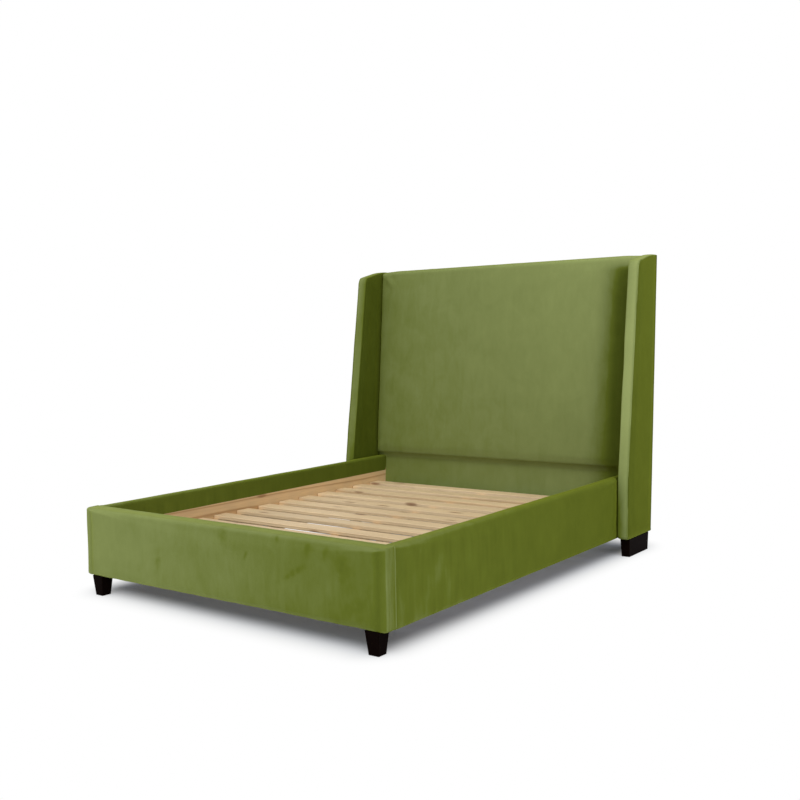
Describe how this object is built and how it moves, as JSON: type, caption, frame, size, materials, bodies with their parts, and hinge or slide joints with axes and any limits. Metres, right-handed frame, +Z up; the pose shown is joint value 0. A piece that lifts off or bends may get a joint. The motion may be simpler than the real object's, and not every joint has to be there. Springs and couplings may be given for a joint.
{
  "type": "upholstered bed frame",
  "caption": "Upholstered wingback bed frame with a tall leaning headboard, padded side rails and footboard, a slat deck on a centre beam and levelling feet.",
  "frame": {"origin": "on the floor, under the middle of the bed's bounding box", "axes": "+Z up, +Y from the footboard towards the headboard, +X towards the right side rail as seen from the footboard"},
  "size_m": [1.778, 2.3367, 1.51],
  "materials": {
    "velvet": "matte",
    "foam": "matte",
    "pine": "matte",
    "plywood": "matte",
    "dark_wood": "satin",
    "lining": "matte",
    "webbing": "matte",
    "zinc_plate": "satin",
    "fasteners": "satin",
    "glide_plastic": "matte"
  },
  "bodies": {
    "frame": {"headboard_frame": "pine", "headboard_panel": "plywood", "headboard_foam": "foam", "headboard_cover": "velvet", "headboard_lining": "lining", "wing_left_frame": "plywood", "wing_right_frame": "plywood", "wing_left_foam": "foam", "wing_right_foam": "foam", "wing_left_cover": "velvet", "wing_right_cover": "velvet", "wing_left_foot": "dark_wood", "wing_right_foot": "dark_wood", "footboard_core": "pine", "footboard_foam": "foam", "footboard_cover": "velvet", "foot_leg_left": "dark_wood", "foot_leg_right": "dark_wood", "rail_left_core": "pine", "rail_right_core": "pine", "rail_left_foam": "foam", "rail_right_foam": "foam", "rail_left_cover": "velvet", "rail_right_cover": "velvet", "ledger_left": "pine", "ledger_right": "pine", "centre_beam": "pine", "beam_shoe_foot": "zinc_plate", "beam_shoe_head": "zinc_plate", "slat_webbing": "webbing", "foot_brackets": "zinc_plate", "head_brackets": "zinc_plate", "bracket_bolts": "fasteners", "wing_bolts": "fasteners", "hanger_bolts": "fasteners", "threaded_inserts": "fasteners", "wood_screws": "fasteners", "glides": "glide_plastic", "slat_1": "pine", "slat_2": "pine", "slat_3": "pine", "slat_4": "pine", "slat_5": "pine", "slat_6": "pine", "slat_7": "pine", "slat_8": "pine", "slat_9": "pine", "slat_10": "pine", "slat_11": "pine", "slat_12": "pine", "slat_13": "pine", "centre_leg_1": "pine", "centre_leg_2": "pine", "centre_leg_3": "pine"},
    "level_pad_1": {"level_pad_1": "glide_plastic"},
    "level_stud_1": {"level_stud_1": "fasteners"},
    "level_pad_2": {"level_pad_2": "glide_plastic"},
    "level_stud_2": {"level_stud_2": "fasteners"},
    "level_pad_3": {"level_pad_3": "glide_plastic"},
    "level_stud_3": {"level_stud_3": "fasteners"}
  },
  "joints": [
    {"name": "level_1_travel", "type": "slide", "parent": "frame", "child": "level_pad_1", "axis": [0, 0, -1], "range_m": [0, 0.015]},
    {"name": "level_1_turn", "type": "hinge", "parent": "level_pad_1", "child": "level_stud_1", "pos_m": [0, -0.58605, 0.0085], "axis": [0, 0, -1], "range_deg": [0, 4320]},
    {"name": "level_2_travel", "type": "slide", "parent": "frame", "child": "level_pad_2", "axis": [0, 0, -1], "range_m": [0, 0.015]},
    {"name": "level_2_turn", "type": "hinge", "parent": "level_pad_2", "child": "level_stud_2", "pos_m": [0, -0.07354, 0.0085], "axis": [0, 0, -1], "range_deg": [0, 4320]},
    {"name": "level_3_travel", "type": "slide", "parent": "frame", "child": "level_pad_3", "axis": [0, 0, -1], "range_m": [0, 0.015]},
    {"name": "level_3_turn", "type": "hinge", "parent": "level_pad_3", "child": "level_stud_3", "pos_m": [0, 0.43895, 0.0085], "axis": [0, 0, -1], "range_deg": [0, 4320]}
  ],
  "couplings": [
    {"joint": "level_1_travel", "follows": "level_1_turn", "m_per_rad": 0.00019894},
    {"joint": "level_2_travel", "follows": "level_2_turn", "m_per_rad": 0.00019894},
    {"joint": "level_3_travel", "follows": "level_3_turn", "m_per_rad": 0.00019894}
  ]
}
